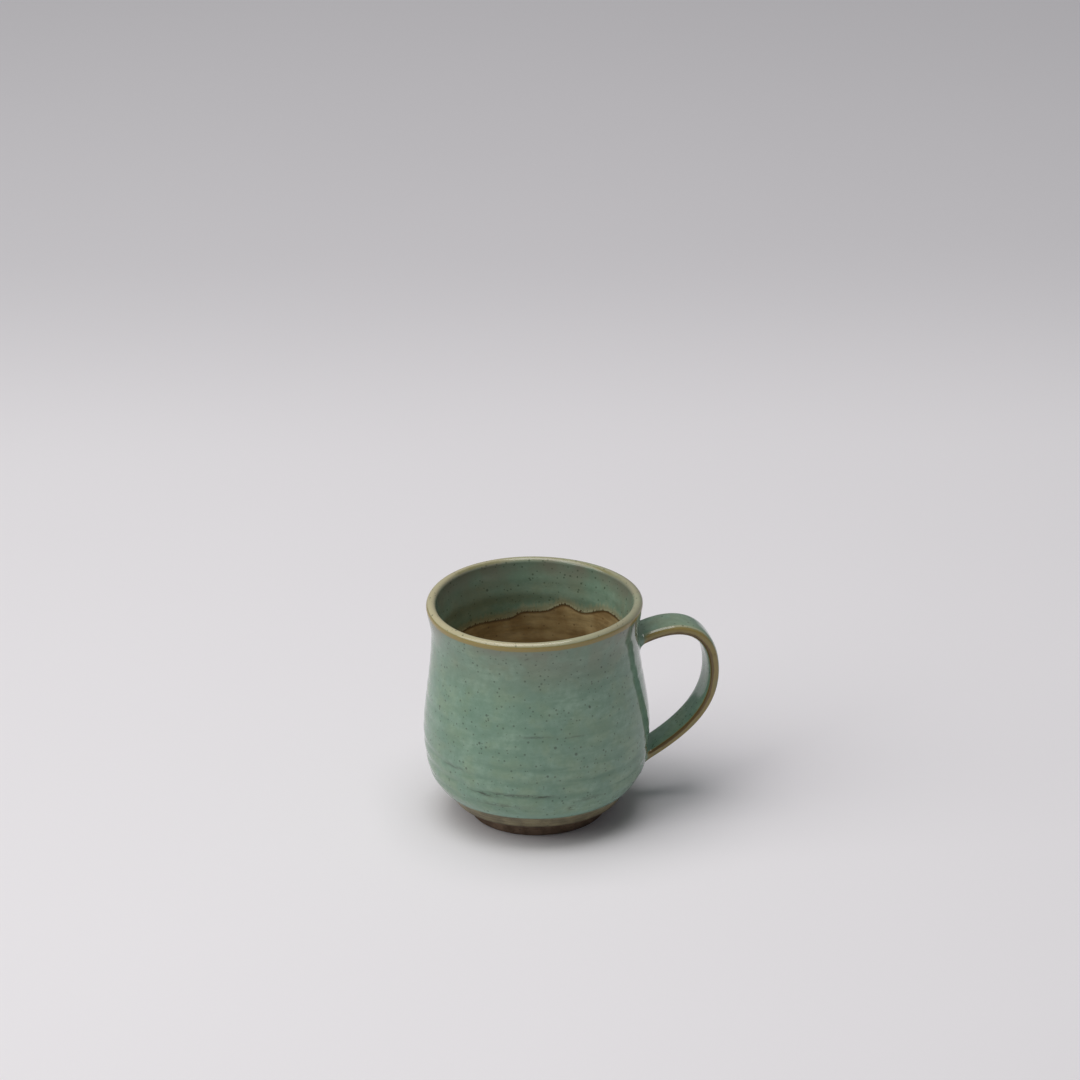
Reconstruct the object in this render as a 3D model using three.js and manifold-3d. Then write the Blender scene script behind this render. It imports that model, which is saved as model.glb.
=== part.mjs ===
// A hand-thrown stoneware mug: a round-bellied cup on a turned foot ring, a pulled strap
// handle joined on with slip, and the coats of glaze that were melted onto the clay.
// Millimetres, +Z up. The mug stands on z = 0, its handle points along +X, and the origin is
// under the middle of the whole outline, handle included.

import * as THREE from 'three';
import { mergeVertices } from 'three/addons/utils/BufferGeometryUtils.js';
import Module from 'manifold-3d';

const wasm = await Module();
wasm.setup();

// ---------------------------------------------------------------- driving dimensions, mm

// The outside of the glazed cup: each height has a radius, and a slope where it isn't upright.
// The shoulder is set by how far it stays inside the belly.
const cupHeight = 91.1;
const rimRadius = 43.0;
const rimSlope = 0.11;
const waistHeight = 76.5;
const waistRadius = 41.1;
const bellyHeight = 36.5;
const bellyRadius = 45.0;
const shoulderHeight = 21.5;
const shoulderInset = 1.6;
const shoulderSlope = 0.17;
const ledgeHeight = 7.3;
const ledgeRadius = 33.75;
const ledgeSlope = 0.73;

// Walls and the hollow, glaze included.
const lipThickness = 3.9;
const bellyWall = 4.8;
const bowlHeight = 34.0;
const floorHeight = 9.5;
const floorRadius = 16.0;

// The glaze: where the green coat ends outside, and where the green meets the brown inside.
const glazeThickness = 0.5;
const glazeLineHeight = 13.1;
const linerHeight = 68.0;

// The turned foot ring, and the shallow recess inside it.
const footHeight = 5.6;
const footTopRadius = 28.6;
const footBaseRadius = 27.1;
const footInnerRadius = 21.5;
const footRecess = 3.0;
const footChamfer = 0.6;

// The strap handle, glaze included. Each stretch leaves its end along a stated direction, and
// its pull is how far it keeps to that direction before it bends.
const strapWidth = 15.2;
const strapThickness = 4.9;
const handleReach = 74.2;
const handleReachHeight = 54.3;
const upperRootHeight = 70.7;
const upperRootAngle = THREE.MathUtils.degToRad(25);
const upperRootPull = 19.5;
const upperBendPull = 19.5;
const lowerRootHeight = 19.0;
const lowerRootAngle = THREE.MathUtils.degToRad(27);
const lowerRootPull = 19.8;
const lowerBendPull = 17.0;
const rootDepth = 2.2;

// The beads of slip worked around the strap's roots.
const beadWidth = 1.6;
const beadHeight = 2.2;
const beadRounding = 1.3;

// Room between pieces that are cut to fit each other.
const clearance = 0.3;

// Fineness of the round surfaces.
const aroundSegments = 48;
const bandSteps = 3;
const outsideSteps = 12;
const lipSteps = 4;
const mouthSteps = 3;
const wallSteps = 3;
const bowlSteps = 6;
const strapSteps = 30;
const strapSides = 16;

const lipRadius = lipThickness / 2;
const lipCentreRadius = rimRadius - lipRadius;
const lipCentreHeight = cupHeight - lipRadius;

// ---------------------------------------------------------------- profile of the cup

const outline = [
  { height: ledgeHeight, radius: ledgeRadius, slope: ledgeSlope },
  { height: shoulderHeight, radius: bellyRadius - shoulderInset, slope: shoulderSlope },
  { height: bellyHeight, radius: bellyRadius, slope: 0 },
  { height: waistHeight, radius: waistRadius, slope: 0 },
  { height: lipCentreHeight, radius: rimRadius, slope: rimSlope },
];

// Radius of the glazed outside at a height, from the stretch of outline that holds the height.
function outsideRadius(height) {
  const last = outline.length - 2;
  const found = outline.findIndex((knot, i) => i > last || height < outline[i + 1].height);
  const low = outline[Math.min(found, last)];
  const high = outline[Math.min(found, last) + 1];
  const span = high.height - low.height;
  const t = THREE.MathUtils.clamp((height - low.height) / span, 0, 1);
  const rise = t * t * (3 - 2 * t);
  const startBend = t * (1 - t) * (1 - t) * span * low.slope;
  const endBend = t * t * (t - 1) * span * high.slope;
  return low.radius + (high.radius - low.radius) * rise + startBend + endBend;
}

// Radius of the bare clay: the coat thins to nothing between the glaze line and the ledge.
function clayRadius(height) {
  const cover = (height - ledgeHeight) / (glazeLineHeight - ledgeHeight);
  return outsideRadius(height) - glazeThickness * THREE.MathUtils.clamp(cover, 0, 1);
}

// Radius of the glazed inside: the wall thickens from the lip down to the bowl.
function insideRadius(height) {
  const down = (lipCentreHeight - height) / (lipCentreHeight - bowlHeight);
  return outsideRadius(height) - THREE.MathUtils.lerp(lipThickness, bellyWall, down);
}

// Points from the glaze line up the outside, over the lip and down the inside to the centre
// of the floor, at a depth under the glazed surface: 0 is the glaze, glazeThickness the clay.
function surfacePath(depth) {
  const path = [];
  const add = (radius, height) => path.push(new THREE.Vector2(radius, height));
  for (let i = 0; i < outsideSteps; i++) {
    const height = THREE.MathUtils.lerp(glazeLineHeight, lipCentreHeight, i / outsideSteps);
    add(outsideRadius(height) - depth, height);
  }
  for (let i = 0; i < lipSteps; i++) {
    const angle = (Math.PI * i) / lipSteps;
    const reach = lipRadius - depth;
    add(lipCentreRadius + reach * Math.cos(angle), lipCentreHeight + reach * Math.sin(angle));
  }
  for (let i = 0; i < mouthSteps; i++) {
    const height = THREE.MathUtils.lerp(lipCentreHeight, linerHeight, i / mouthSteps);
    add(insideRadius(height) + depth, height);
  }
  for (let i = 0; i < wallSteps; i++) {
    const height = THREE.MathUtils.lerp(linerHeight, bowlHeight, i / wallSteps);
    add(insideRadius(height) + depth, height);
  }
  const bowlReach = insideRadius(bowlHeight) - floorRadius + depth;
  const bowlDepth = bowlHeight - floorHeight + depth;
  for (let i = 0; i <= bowlSteps; i++) {
    const angle = (Math.PI * i) / (2 * bowlSteps);
    add(floorRadius + bowlReach * Math.cos(angle), bowlHeight - bowlDepth * Math.sin(angle));
  }
  add(0, floorHeight - depth);
  return path;
}

const glazePath = surfacePath(0);
const clayPath = surfacePath(glazeThickness);
const lipTopIndex = outsideSteps + lipSteps / 2;
const linerIndex = outsideSteps + lipSteps + mouthSteps;
const floorIndex = glazePath.length - 1;

// ---------------------------------------------------------------- making solids

// Turns a profile, given anticlockwise with the axis on its left, about the cup's axis.
function turned(profile) {
  const onAxis = profile[0].x === 0;
  const points = onAxis ? profile : [...profile, profile[0]];
  return new THREE.LatheGeometry(points, aroundSegments).rotateX(Math.PI / 2);
}

function solidOf(geometry) {
  const bare = geometry.clone();
  bare.deleteAttribute('normal');
  bare.deleteAttribute('uv');
  const merged = mergeVertices(bare, 1e-5);
  const corners = [];
  for (let i = 0; i < merged.index.count; i += 3) {
    const [a, b, c] = merged.index.array.slice(i, i + 3);
    if (a !== b && b !== c && c !== a) corners.push(a, b, c);
  }
  const vertProperties = Float32Array.from(merged.attributes.position.array);
  const mesh = new wasm.Mesh({ numProp: 3, vertProperties, triVerts: Uint32Array.from(corners) });
  return new wasm.Manifold(mesh);
}

function cutAway(geometry, ...cutters) {
  const cut = cutters.reduce((solid, cutter) => solid.subtract(solidOf(cutter)), solidOf(geometry));
  const mesh = cut.getMesh();
  const result = new THREE.BufferGeometry();
  result.setAttribute('position', new THREE.BufferAttribute(mesh.vertProperties, 3));
  result.setIndex(new THREE.BufferAttribute(mesh.triVerts, 1));
  result.computeVertexNormals();
  return result;
}

// ---------------------------------------------------------------- cup, foot and coats

// The bare band of clay, from the ledge up to the glaze line.
const bareBand = Array.from({ length: bandSteps }, (_, i) => {
  const height = THREE.MathUtils.lerp(ledgeHeight, glazeLineHeight, i / bandSteps);
  return new THREE.Vector2(clayRadius(height), height);
});

function cupBody() {
  const underside = [
    new THREE.Vector2(0, footRecess),
    new THREE.Vector2(footInnerRadius, footRecess),
    new THREE.Vector2(footInnerRadius, footHeight),
    new THREE.Vector2(footTopRadius, footHeight),
  ];
  return turned([...underside, ...bareBand, ...clayPath]);
}

function footRing() {
  return turned([
    new THREE.Vector2(footInnerRadius + footChamfer, 0),
    new THREE.Vector2(footBaseRadius - footChamfer, 0),
    new THREE.Vector2(footBaseRadius, footChamfer),
    new THREE.Vector2(footTopRadius, footHeight),
    new THREE.Vector2(footInnerRadius, footHeight),
    new THREE.Vector2(footInnerRadius, footRecess),
    new THREE.Vector2(footInnerRadius, footChamfer),
  ]);
}

// A coat of glaze over one stretch of the surface path.
function coat(from, to) {
  const face = glazePath.slice(from, to + 1);
  const back = clayPath.slice(from, to + 1);
  const reachesAxis = face.at(-1).x === 0;
  return turned(reachesAxis ? [...back.reverse(), ...face] : [...face, ...back.reverse()]);
}

// The clay's outside and a layer over it, as one filled solid: it trims what stands on the wall.
function wallCutter(layer) {
  const side = [...bareBand, ...clayPath.slice(0, outsideSteps + 1)];
  const covered = side.map((point) => new THREE.Vector2(point.x + layer, point.y));
  return turned([new THREE.Vector2(0, 0), ...covered, new THREE.Vector2(0, cupHeight)]);
}

// ---------------------------------------------------------------- handle

// A root of the strap: where its middle line passes the wall, the way it leaves, the way the
// wall faces there, and its start inside the wall.
function root(height, angle) {
  const reach = 1;
  const slope = (outsideRadius(height + reach) - outsideRadius(height - reach)) / (2 * reach);
  const atWall = new THREE.Vector3(outsideRadius(height), 0, height);
  const away = new THREE.Vector3(Math.cos(angle), 0, Math.sin(angle));
  const facing = new THREE.Vector3(1, 0, -slope).normalize();
  const start = atWall.clone().addScaledVector(away, -rootDepth);
  return { atWall, away, facing, start };
}

const upperRoot = root(upperRootHeight, upperRootAngle);
const lowerRoot = root(lowerRootHeight, lowerRootAngle);

// The middle line of the strap: out of the wall, over the bend, and back in near the foot.
function strapPath() {
  const bend = new THREE.Vector3(handleReach - strapThickness / 2, 0, handleReachHeight);
  const aboveBend = bend.clone().add(new THREE.Vector3(0, 0, upperBendPull));
  const belowBend = bend.clone().sub(new THREE.Vector3(0, 0, lowerBendPull));
  const upperPull = upperRoot.start.clone().addScaledVector(upperRoot.away, upperRootPull);
  const lowerPull = lowerRoot.start.clone().addScaledVector(lowerRoot.away, lowerRootPull);
  const path = new THREE.CurvePath();
  path.add(new THREE.CubicBezierCurve3(upperRoot.start, upperPull, aboveBend, bend));
  path.add(new THREE.CubicBezierCurve3(bend, belowBend, lowerPull, lowerRoot.start));
  return path;
}

// The strap's soft, rounded section, grown or shrunk all round. Its width runs along x. Where
// the strap is cut on the slant, its thickness is stretched.
function strapSection(growth, stretch = 1) {
  const edgeRoundness = 0.5;
  const faceRoundness = 0.65;
  const soften = (value, power) => Math.sign(value) * Math.abs(value) ** power;
  return Array.from({ length: strapSides }, (_, i) => {
    const angle = (2 * Math.PI * (i + 0.5)) / strapSides;
    const across = (strapWidth / 2 + growth) * soften(Math.cos(angle), edgeRoundness);
    const halfThickness = (strapThickness / 2) * stretch + growth;
    const through = halfThickness * soften(Math.sin(angle), faceRoundness);
    return new THREE.Vector2(across, through);
  });
}

function strap(outerGrowth, holeGrowth) {
  const shape = new THREE.Shape(strapSection(outerGrowth));
  if (holeGrowth !== undefined) shape.holes.push(new THREE.Path(strapSection(holeGrowth)));
  return new THREE.ExtrudeGeometry(shape, { steps: strapSteps, extrudePath: strapPath() });
}

// A rounded bead around a root, lying on the wall.
function bead({ atWall, away, facing }, growth) {
  const slant = 1 / away.dot(facing);
  const shape = new THREE.Shape(strapSection(beadWidth + growth, slant));
  const depth = rootDepth + beadHeight + growth - beadRounding;
  const geometry = new THREE.ExtrudeGeometry(shape, {
    depth,
    bevelThickness: beadRounding,
    bevelSize: beadRounding,
    bevelOffset: -beadRounding,
    bevelSegments: 3,
  });
  const side = new THREE.Vector3(0, 1, 0);
  const up = new THREE.Vector3().crossVectors(facing, side);
  const middle = atWall.clone().addScaledVector(away, (beadHeight * slant) / 2);
  const back = middle.addScaledVector(facing, -rootDepth - beadHeight / 2);
  return geometry.applyMatrix4(new THREE.Matrix4().makeBasis(side, up, facing).setPosition(back));
}

// ---------------------------------------------------------------- assembly

const finishes = {
  bareClay: { color: '#4a352b', roughness: 0.85, metalness: 0 },
  clay: { color: '#8f8468', roughness: 0.75, metalness: 0 },
  greenGlaze: { color: '#6f8a78', roughness: 0.18, metalness: 0 },
  brownGlaze: { color: '#5d4c33', roughness: 0.22, metalness: 0 },
};

const cup = new THREE.Group();

function addPiece(name, geometry, finish) {
  const mesh = new THREE.Mesh(geometry, new THREE.MeshStandardMaterial(finishes[finish]));
  mesh.name = name;
  cup.add(mesh);
}

const beadSpaces = [upperRoot, lowerRoot].map((place) => bead(place, clearance));
const onClay = wallCutter(clearance);
const onGlaze = wallCutter(glazeThickness + clearance);
const clayStrap = strap(-glazeThickness);
const strapCoat = strap(0, -glazeThickness);
const clayStrapSpace = strap(clearance - glazeThickness);
const strapSpace = strap(clearance);

addPiece('foot_ring', footRing(), 'bareClay');
addPiece('cup_body', cupBody(), 'clay');
addPiece('outer_glaze', cutAway(coat(0, lipTopIndex), ...beadSpaces, strapSpace), 'greenGlaze');
addPiece('inner_rim_glaze', coat(lipTopIndex, linerIndex), 'greenGlaze');
addPiece('liner_glaze', coat(linerIndex, floorIndex), 'brownGlaze');
addPiece('handle', cutAway(clayStrap, onClay), 'clay');
addPiece('handle_glaze', cutAway(strapCoat, onGlaze, ...beadSpaces), 'greenGlaze');
addPiece('upper_handle_joint', cutAway(bead(upperRoot, 0), onClay, clayStrapSpace), 'greenGlaze');
addPiece('lower_handle_joint', cutAway(bead(lowerRoot, 0), onClay, clayStrapSpace), 'greenGlaze');

// The cup's axis stands back from the origin by half of what the handle adds to the length.
cup.position.x = (bellyRadius - handleReach) / 2;

const mug = new THREE.Group();
mug.add(cup);

export default mug;
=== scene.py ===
from math import cos, pi, radians, sin, sqrt, tau

import bpy
import numpy as np
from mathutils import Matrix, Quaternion, Vector


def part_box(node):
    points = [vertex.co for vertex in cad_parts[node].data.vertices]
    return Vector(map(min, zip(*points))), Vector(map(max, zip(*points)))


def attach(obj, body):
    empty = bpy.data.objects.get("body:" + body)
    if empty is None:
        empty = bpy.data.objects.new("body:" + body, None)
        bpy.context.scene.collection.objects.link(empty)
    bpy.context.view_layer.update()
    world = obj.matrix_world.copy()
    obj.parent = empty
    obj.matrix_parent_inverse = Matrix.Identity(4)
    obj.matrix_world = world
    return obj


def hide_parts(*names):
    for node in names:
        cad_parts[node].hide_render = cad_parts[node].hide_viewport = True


bl_info = {
    "name": "Glazed stoneware mug",
    "version": (1, 0, 0),
    "blender": (4, 5, 0),
    "location": "View3D > Sidebar > Mug",
    "description": "Builds a hand-thrown, glazed stoneware mug around its packed frame",
    "category": "Add Mesh",
}

# ------------------------------------------------------------------ frame and small helpers

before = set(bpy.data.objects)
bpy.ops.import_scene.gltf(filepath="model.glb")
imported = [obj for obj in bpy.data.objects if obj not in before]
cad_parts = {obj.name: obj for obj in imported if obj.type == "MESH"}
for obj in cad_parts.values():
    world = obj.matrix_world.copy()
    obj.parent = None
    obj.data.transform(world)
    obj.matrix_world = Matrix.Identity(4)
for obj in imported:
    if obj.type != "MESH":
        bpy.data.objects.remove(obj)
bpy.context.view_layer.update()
MM = 0.001

FOOT_LOW, FOOT_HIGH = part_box("foot_ring")
OUTER_LOW, OUTER_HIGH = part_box("outer_glaze")
HANDLE_LOW, HANDLE_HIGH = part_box("handle_glaze")
LINER_LOW, LINER_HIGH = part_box("liner_glaze")
CLAY_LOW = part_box("cup_body")[0]
AXIS_X = (FOOT_LOW.x + FOOT_HIGH.x) / 2
BELLY_RADIUS = (OUTER_HIGH.y - OUTER_LOW.y) / 2
BELLY_MIDDLE = 40 * MM


def linear(hex_colour):
    """An sRGB hex colour as linear red, green, blue and alpha."""
    channels = [int(hex_colour[i:i + 2], 16) / 255 for i in (1, 3, 5)]
    return [c / 12.92 if c <= 0.04045 else ((c + 0.055) / 1.055) ** 2.4 for c in channels] + [1.0]


def smoothstep(low, high, value):
    """0 below low, 1 above high, and a smooth rise between."""
    t = np.clip((value - low) / (high - low), 0.0, 1.0)
    return t * t * (3 - 2 * t)


def bell(value, width):
    """1 at zero, falling away over the width."""
    return np.exp(-(value / width) ** 2)


def turn_from(angle, degrees):
    """Signed angle, in degrees, from a bearing given in degrees."""
    return (np.degrees(angle) - degrees + 180) % 360 - 180


def wander(angle, seed, waves, first=1):
    """A smooth closed wave round the cup, about -1 to 1, with each finer wave weaker."""
    draw = np.random.default_rng(seed)
    total = np.zeros_like(angle)
    weight = 0.0
    for k in range(first, first + waves):
        strength = 1 / sqrt(k)
        total = total + strength * np.sin(k * angle + draw.uniform(0, tau))
        weight += strength
    return total / weight * 1.8


# ------------------------------------------------------------------ sizes and colours to set


class CupSettings(bpy.types.PropertyGroup):
    """The thrown cup, as glazed."""

    height: bpy.props.FloatProperty(
        name="Height", description="Height of the lip", default=OUTER_HIGH.z, unit="LENGTH")
    rim_radius: bpy.props.FloatProperty(
        name="Rim radius", description="Outside of the lip", default=43.0 * MM, unit="LENGTH")
    waist_radius: bpy.props.FloatProperty(
        name="Waist radius", description="Narrowest place under the lip", default=41.1 * MM, unit="LENGTH")
    waist_height: bpy.props.FloatProperty(
        name="Waist height", description="Height of the waist", default=76.5 * MM, unit="LENGTH")
    belly_radius: bpy.props.FloatProperty(
        name="Belly radius", description="Widest place", default=BELLY_RADIUS, unit="LENGTH")
    belly_height: bpy.props.FloatProperty(
        name="Belly height", description="Height of the widest place", default=36.5 * MM, unit="LENGTH")
    shoulder_inset: bpy.props.FloatProperty(
        name="Shoulder inset", description="How far the shoulder is inside the belly",
        default=1.6 * MM, unit="LENGTH")
    shoulder_height: bpy.props.FloatProperty(
        name="Shoulder height", description="Where the belly turns in to the foot",
        default=21.5 * MM, unit="LENGTH")
    ledge_radius: bpy.props.FloatProperty(
        name="Ledge radius", description="Lower corner of the bare band", default=33.75 * MM, unit="LENGTH")
    ledge_height: bpy.props.FloatProperty(
        name="Ledge height", description="Height of that corner", default=7.3 * MM, unit="LENGTH")
    lip_thickness: bpy.props.FloatProperty(
        name="Lip thickness", description="Thickness at the lip", default=3.9 * MM, unit="LENGTH")
    belly_wall: bpy.props.FloatProperty(
        name="Belly wall", description="Thickness of the wall at the belly", default=4.8 * MM, unit="LENGTH")
    bowl_height: bpy.props.FloatProperty(
        name="Bowl height", description="Where the inside starts to round in",
        default=34.0 * MM, unit="LENGTH")
    floor_height: bpy.props.FloatProperty(
        name="Floor height", description="Height of the inside's floor", default=LINER_LOW.z + 0.5 * MM,
        unit="LENGTH")
    floor_radius: bpy.props.FloatProperty(
        name="Floor radius", description="Flat part of the floor", default=16.0 * MM, unit="LENGTH")
    groove_depth: bpy.props.FloatProperty(
        name="Groove depth", description="Depth of the finger grooves", default=0.20 * MM, unit="LENGTH")
    groove_pitch: bpy.props.FloatProperty(
        name="Groove pitch", description="Height of one turn of the grooves", default=6.2 * MM,
        unit="LENGTH")


class FootSettings(bpy.types.PropertyGroup):
    """The turned foot."""

    top_radius: bpy.props.FloatProperty(
        name="Top radius", description="Foot where it meets the cup", default=28.6 * MM, unit="LENGTH")
    base_radius: bpy.props.FloatProperty(
        name="Base radius", description="Foot where it stands", default=27.1 * MM, unit="LENGTH")
    inner_radius: bpy.props.FloatProperty(
        name="Inner radius", description="Inside of the ring", default=21.5 * MM, unit="LENGTH")
    height: bpy.props.FloatProperty(
        name="Height", description="Height of the ring", default=FOOT_HIGH.z, unit="LENGTH")
    recess: bpy.props.FloatProperty(
        name="Recess", description="Depth of the recess inside the ring", default=CLAY_LOW.z,
        unit="LENGTH")


class HandleSettings(bpy.types.PropertyGroup):
    """The pulled strap handle, as glazed."""

    width: bpy.props.FloatProperty(
        name="Width", description="Width of the strap",
        default=HANDLE_HIGH.y - HANDLE_LOW.y, unit="LENGTH")
    thickness: bpy.props.FloatProperty(
        name="Thickness", description="Thickness of the strap", default=4.9 * MM, unit="LENGTH")
    reach: bpy.props.FloatProperty(
        name="Reach", description="Outermost point from the cup's axis",
        default=HANDLE_HIGH.x - AXIS_X, unit="LENGTH")
    reach_height: bpy.props.FloatProperty(
        name="Reach height", description="Height of the outermost point", default=54.3 * MM,
        unit="LENGTH")
    upper_height: bpy.props.FloatProperty(
        name="Upper root height", description="Where it leaves the cup", default=70.7 * MM,
        unit="LENGTH")
    lower_height: bpy.props.FloatProperty(
        name="Lower root height", description="Where it comes back to the cup", default=19.0 * MM,
        unit="LENGTH")


class GlazeSettings(bpy.types.PropertyGroup):
    """Where the glazes end, and their colours."""

    thickness: bpy.props.FloatProperty(
        name="Thickness", description="Thickness of the coats", default=0.5 * MM, unit="LENGTH")
    line_height: bpy.props.FloatProperty(
        name="Glaze line", description="Lower end of the green outside", default=OUTER_LOW.z,
        unit="LENGTH")
    liner_height: bpy.props.FloatProperty(
        name="Liner height", description="Middle height of the brown lining's wavy edge",
        default=LINER_HIGH.z, unit="LENGTH")
    green: bpy.props.FloatVectorProperty(
        name="Green", description="Celadon where it lies even", subtype="COLOR", size=4,
        min=0, max=1, default=linear("#7c9a87"))
    pale: bpy.props.FloatVectorProperty(
        name="Pale green", description="Celadon where it lies thinly", subtype="COLOR", size=4,
        min=0, max=1, default=linear("#8ca893"))
    deep: bpy.props.FloatVectorProperty(
        name="Deep green", description="Celadon where it pools", subtype="COLOR", size=4,
        min=0, max=1, default=linear("#63856f"))
    ochre: bpy.props.FloatVectorProperty(
        name="Ochre", description="Where the glaze breaks on edges", subtype="COLOR", size=4,
        min=0, max=1, default=linear("#94844f"))
    liner: bpy.props.FloatVectorProperty(
        name="Brown", description="The lining", subtype="COLOR", size=4,
        min=0, max=1, default=linear("#bda97c"))
    clay: bpy.props.FloatVectorProperty(
        name="Clay", description="The bare stoneware of the foot", subtype="COLOR", size=4,
        min=0, max=1, default=linear("#87705a"))


class StudioSettings(bpy.types.PropertyGroup):
    """The camera, the lights and the paper floor."""

    distance: bpy.props.FloatProperty(
        name="Distance", description="Camera's distance", default=2.7615, unit="LENGTH")
    bearing: bpy.props.FloatProperty(
        name="Bearing", description="How far the camera stands round from square to the handle",
        default=radians(12.5), subtype="ANGLE")
    elevation: bpy.props.FloatProperty(
        name="Elevation", description="Camera's angle above the floor", default=radians(24.1),
        subtype="ANGLE")
    roll: bpy.props.FloatProperty(
        name="Roll", description="How far the camera leans sideways", default=radians(-1.0),
        subtype="ANGLE")
    aim_right: bpy.props.FloatProperty(
        name="Aim right", description="Aim beside the cup's axis", default=2.64 * MM, unit="LENGTH")
    aim_height: bpy.props.FloatProperty(
        name="Aim height", description="Height of the aim", default=116.8 * MM, unit="LENGTH")
    lens: bpy.props.FloatProperty(
        name="Lens", description="Focal length in mm on a 36 mm sensor", default=233.3)
    paper: bpy.props.FloatVectorProperty(
        name="Paper", description="The floor", subtype="COLOR", size=4, min=0, max=1,
        default=linear("#e9e9ec"))


# ------------------------------------------------------------------ form of the cup


class CupForm:
    """The cup's surfaces, as functions of the bearing round the axis and the height."""

    # How fast the outline widens with height at its corners.
    LEDGE_SLOPE, SHOULDER_SLOPE, RIM_SLOPE = 0.73, 0.17, 0.11
    # How far the rim has sagged off the wheel, and the bearing it rises towards.
    SAG, SAG_BEARING = 0.5 * MM, radians(-57.5)

    def __init__(self, scene):
        self.cup = scene.mug_cup
        self.foot = scene.mug_foot
        self.glaze = scene.mug_glaze
        cup = self.cup
        self.lip = cup.lip_thickness / 2
        self.lip_radius = cup.rim_radius - self.lip
        self.lip_height = cup.height - self.lip
        self.outline = [
            (cup.ledge_height, cup.ledge_radius, self.LEDGE_SLOPE),
            (cup.shoulder_height, cup.belly_radius - cup.shoulder_inset, self.SHOULDER_SLOPE),
            (cup.belly_height, cup.belly_radius, 0.0),
            (cup.waist_height, cup.waist_radius, 0.0),
            (self.lip_height, cup.rim_radius, self.RIM_SLOPE),
        ]

    def plain_outside(self, height):
        """Radius of the outline at a height, each stretch a cubic with its ends' slopes."""
        height = np.clip(height, self.outline[0][0], self.outline[-1][0])
        radius = np.zeros_like(height)
        for (z0, r0, s0), (z1, r1, s1) in zip(self.outline, self.outline[1:]):
            span = z1 - z0
            t = (height - z0) / span
            rise = t * t * (3 - 2 * t)
            bend = t * (1 - t) * (1 - t) * span * s0 + t * t * (t - 1) * span * s1
            here = (t >= 0) & (t <= 1)
            radius = np.where(here, r0 + (r1 - r0) * rise + bend, radius)
        return radius

    def wall(self, height):
        """Thickness of the wall, from the lip down to the bowl."""
        down = (self.lip_height - height) / (self.lip_height - self.cup.bowl_height)
        return self.cup.lip_thickness + (self.cup.belly_wall - self.cup.lip_thickness) * down

    def groove_wave(self, angle, height):
        """Finger grooves left by throwing: one slow spiral, deepest low on the belly."""
        low = bell(height - 27 * MM, 13 * MM)
        middle = 0.42 * bell(height - 56 * MM, 12 * MM)
        high = 0.22 * bell(height - 78 * MM, 9 * MM)
        uneven = 0.55 + 0.45 * wander(angle + height * 90, 11, 5)
        phase = height / self.cup.groove_pitch + angle / tau + 0.12 * wander(angle, 12, 3)
        wave = np.sin(tau * phase) + 0.15 * np.sin(2 * tau * phase + 1.1)
        return (low + middle + high) * uneven * wave

    def outside(self, angle, height):
        """Radius of the glazed outside, with grooves and the slow lumps of hand work."""
        lumps = 0.14 * MM * wander(angle + height * 35, 21, 4, first=2)
        grooves = self.cup.groove_depth * self.groove_wave(angle, height)
        fade = 1 - smoothstep(self.cup.waist_height, self.lip_height, height)
        return self.plain_outside(height) + fade * (grooves + lumps)

    def inside(self, angle, height):
        """Radius of the glazed inside above the bowl, with its own faint grooves."""
        phase = height / (7 * MM) - angle / tau
        grooves = 0.10 * MM * np.sin(tau * phase) * (0.7 + 0.3 * wander(angle, 31, 3))
        fade = 1 - smoothstep(self.cup.waist_height, self.lip_height, height)
        return self.plain_outside(height) - self.wall(height) + fade * grooves

    def liner_line(self, angle):
        """Height of the lining's edge: dipped by hand, it climbs in steps towards the handle."""
        round_from_back = (np.degrees(angle) + 60) % 360 - 60

        def climb(start, stop):
            """0 at the first bearing and 1 at the second, going towards the handle."""
            return 1 - smoothstep(stop, start, round_from_back)

        steps = 2.4 * climb(94, 84) + 1.2 * climb(70, 55) + 4.6 * climb(52, 24)
        steps = steps * smoothstep(-60, -5, round_from_back)
        peak = 2.8 * bell(round_from_back - 59, 8.5)
        swing = 0.45 * wander(angle, 41, 9, first=4)
        teeth = 0.10 * wander(angle, 42, 40, first=45)
        return self.glaze.liner_height + (steps + peak + swing + teeth - 1.8) * MM

    def wobble(self, angle, height):
        """The height after the rim has sagged a little on two opposite sides, off the wheel."""
        share = (height / self.cup.height) ** 3
        return height + self.SAG * share * np.cos(2 * (angle - self.SAG_BEARING))

    def glaze_line(self, angle):
        """Height of the green's lower edge, wiped nearly level."""
        return self.glaze.line_height + 0.3 * MM * wander(angle, 51, 6)


def at_bearing(angle, radius, height):
    """Points in space from bearings, radii and heights round the cup's axis."""
    angle, radius, height = np.broadcast_arrays(angle, radius, height)
    x = AXIS_X + radius * np.cos(angle)
    return np.stack([x, radius * np.sin(angle), height], axis=-1)


def row_normals(points):
    """Normals of rows of points that close round on themselves."""
    along = np.gradient(points, axis=0)
    around = np.roll(points, -1, axis=1) - np.roll(points, 1, axis=1)
    normals = np.cross(around, along)
    return normals / np.maximum(np.linalg.norm(normals, axis=2, keepdims=True), 1e-12)


# ------------------------------------------------------------------ making meshes


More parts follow.
